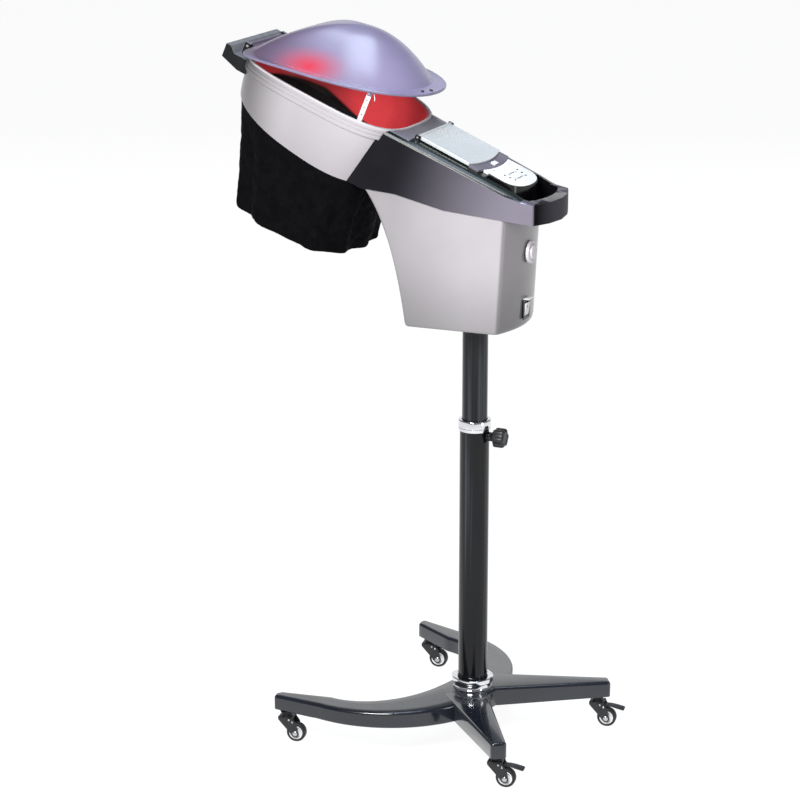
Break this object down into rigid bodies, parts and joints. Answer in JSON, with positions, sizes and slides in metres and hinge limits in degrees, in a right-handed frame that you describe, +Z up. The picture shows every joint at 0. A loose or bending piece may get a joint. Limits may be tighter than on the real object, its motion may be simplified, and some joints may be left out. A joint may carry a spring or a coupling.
{
  "type": "hair steamer on a wheeled stand",
  "caption": "Salon hair steamer: tilted hood with hinged clear visor and cloth skirt, silver steam body with tank lid and controls, telescopic mast, crescent caster base.",
  "frame": {"origin": "on the floor, under the middle of the object's box", "axes": "+Z up along the mast, -X towards the hood's front, +X towards the rear grip, -Y towards the left side of a person behind it who faces the hood"},
  "size_m": [0.7618, 0.5602, 1.4225],
  "materials": {
    "silver_plastic": "silver lacquer, satin gloss",
    "gloss_black_plastic": "glossy black",
    "charcoal_plastic": "fine satin",
    "grey_plastic": "satin",
    "white_plastic": "satin gloss",
    "red_lit_liner": "dark satin, lit red",
    "lavender_visor": "clear tinted, glossy",
    "chrome": "polished",
    "bright_steel": "bright zinc",
    "black_painted_steel": "gloss black paint",
    "grey_painted_steel": "satin dark grey paint",
    "black_rubber": "matte",
    "black_cloth": "soft matte",
    "green_board": "lacquered laminate"
  },
  "bodies": {
    "base": {"base_crescent": "grey_painted_steel", "rear_leg_left": "grey_painted_steel", "rear_leg_right": "grey_painted_steel", "hub_bolt": "bright_steel", "lower_mast": "black_painted_steel", "base_ring": "chrome", "clamp_ring": "chrome", "guide_bush": "white_plastic", "front_left_caster_race": "bright_steel", "front_right_caster_race": "bright_steel", "rear_left_caster_race": "bright_steel", "rear_right_caster_race": "bright_steel"},
    "upper_mast": {"upper_mast": "black_painted_steel"},
    "head": {"body_shell": "silver_plastic", "mast_socket": "charcoal_plastic", "switch_frame": "gloss_black_plastic", "cord_gland": "charcoal_plastic", "steam_boiler": "bright_steel", "band_heater": "bright_steel", "control_board": "green_board", "steam_duct": "charcoal_plastic", "hood_shell": "silver_plastic", "hood_rim": "silver_plastic", "hood_liner": "red_lit_liner", "light_bar": "white_plastic", "stay_stud": "bright_steel", "front_bracket": "charcoal_plastic", "visor_hinge_pin": "bright_steel", "upper_housing": "gloss_black_plastic", "lid_hinge_pin": "bright_steel", "latch_band": "grey_plastic", "control_pod": "gloss_black_plastic", "control_panel": "white_plastic", "water_tank": "white_plastic", "skirt": "black_cloth"},
    "visor": {"visor": "lavender_visor"},
    "visor_stay": {"visor_stay": "white_plastic"},
    "tank_lid": {"tank_lid": "silver_plastic"},
    "lid_latch": {"lid_latch": "white_plastic"},
    "rear_cap": {"rear_cap": "grey_plastic"},
    "power_rocker": {"power_rocker": "white_plastic"},
    "clamp_knob": {"clamp_knob": "charcoal_plastic"},
    "front_left_fork": {"front_left_caster_fork": "black_painted_steel", "front_left_axle": "bright_steel"},
    "front_left_wheel": {"front_left_wheel_core": "white_plastic", "front_left_tyre": "black_rubber"},
    "front_right_fork": {"front_right_caster_fork": "black_painted_steel", "front_right_axle": "bright_steel"},
    "front_right_wheel": {"front_right_wheel_core": "white_plastic", "front_right_tyre": "black_rubber"},
    "rear_left_fork": {"rear_left_caster_fork": "black_painted_steel", "rear_left_axle": "bright_steel"},
    "rear_left_wheel": {"rear_left_wheel_core": "white_plastic", "rear_left_tyre": "black_rubber"},
    "rear_left_pedal": {"rear_left_brake_pedal": "charcoal_plastic"},
    "rear_right_fork": {"rear_right_caster_fork": "black_painted_steel", "rear_right_axle": "bright_steel"},
    "rear_right_wheel": {"rear_right_wheel_core": "white_plastic", "rear_right_tyre": "black_rubber"},
    "rear_right_pedal": {"rear_right_brake_pedal": "charcoal_plastic"}
  },
  "joints": [
    {"name": "mast_height", "type": "slide", "parent": "base", "child": "upper_mast", "axis": [0, 0, 1], "range_m": [-0.15, 0.15]},
    {"name": "head_swivel", "type": "hinge", "parent": "upper_mast", "child": "head", "pos_m": [0.10924, -0.03742, 0.9], "axis": [0, 0, 1], "continuous": true},
    {"name": "clamp_turn", "type": "hinge", "parent": "base", "child": "clamp_knob", "pos_m": [0.10924, -0.03742, 0.63], "axis": [1, 0, 0], "range_deg": [0, 180]},
    {"name": "visor_hinge", "type": "hinge", "parent": "head", "child": "visor", "pos_m": [-0.33853, -0.03742, 1.37624], "axis": [0, 1, 0], "range_deg": [0, 11.4]},
    {"name": "stay_fold", "type": "hinge", "parent": "visor", "child": "visor_stay", "pos_m": [-0.05804, -0.03742, 1.3105], "axis": [0, 1, 0], "range_deg": [0, 68.4]},
    {"name": "lid_hinge", "type": "hinge", "parent": "head", "child": "tank_lid", "pos_m": [0.02107, -0.03742, 1.22578], "axis": [0, -1, 0], "range_deg": [0, 80]},
    {"name": "latch_press", "type": "slide", "parent": "head", "child": "lid_latch", "axis": [-0.3907, 0, -0.9205], "range_m": [0, 0.002], "stiffness_N_per_m": 600, "springref_m": -0.0005},
    {"name": "cap_turn", "type": "hinge", "parent": "head", "child": "rear_cap", "pos_m": [0.22036, -0.03742, 1.008], "axis": [1, 0, 0], "range_deg": [0, 90]},
    {"name": "rocker_tilt", "type": "hinge", "parent": "head", "child": "power_rocker", "pos_m": [0.20803, -0.03742, 0.896], "axis": [0, -1, 0], "range_deg": [0, 8]},
    {"name": "front_left_swivel", "type": "hinge", "parent": "base", "child": "front_left_fork", "pos_m": [-0.21481, -0.22507, 0.058], "axis": [0, 0, 1], "continuous": true},
    {"name": "front_left_roll", "type": "hinge", "parent": "front_left_fork", "child": "front_left_wheel", "pos_m": [-0.19509, -0.2217, 0.0195], "axis": [-0.1685, 0.9857, 0], "continuous": true},
    {"name": "front_right_swivel", "type": "hinge", "parent": "base", "child": "front_right_fork", "pos_m": [-0.11781, 0.26034, 0.058], "axis": [0, 0, 1], "continuous": true},
    {"name": "front_right_roll", "type": "hinge", "parent": "front_right_fork", "child": "front_right_wheel", "pos_m": [-0.0981, 0.26371, 0.0195], "axis": [-0.1685, 0.9857, 0], "continuous": true},
    {"name": "rear_left_swivel", "type": "hinge", "parent": "base", "child": "rear_left_fork", "pos_m": [0.25175, -0.25405, 0.058], "axis": [0, 0, 1], "continuous": true},
    {"name": "rear_left_roll", "type": "hinge", "parent": "rear_left_fork", "child": "rear_left_wheel", "pos_m": [0.27146, -0.25068, 0.0195], "axis": [-0.1685, 0.9857, 0], "continuous": true},
    {"name": "rear_left_brake", "type": "hinge", "parent": "rear_left_fork", "child": "rear_left_pedal", "pos_m": [0.25175, -0.25405, 0.0458], "axis": [-0.1685, 0.9857, 0], "range_deg": [0, 12]},
    {"name": "rear_right_swivel", "type": "hinge", "parent": "base", "child": "rear_right_fork", "pos_m": [0.32405, 0.1078, 0.058], "axis": [0, 0, 1], "continuous": true},
    {"name": "rear_right_roll", "type": "hinge", "parent": "rear_right_fork", "child": "rear_right_wheel", "pos_m": [0.34377, 0.11117, 0.0195], "axis": [-0.1685, 0.9857, 0], "continuous": true},
    {"name": "rear_right_brake", "type": "hinge", "parent": "rear_right_fork", "child": "rear_right_pedal", "pos_m": [0.32405, 0.1078, 0.0458], "axis": [-0.1685, 0.9857, 0], "range_deg": [0, 12]}
  ],
  "couplings": [
    {"joint": "stay_fold", "follows": "visor_hinge", "ratio": 6}
  ]
}
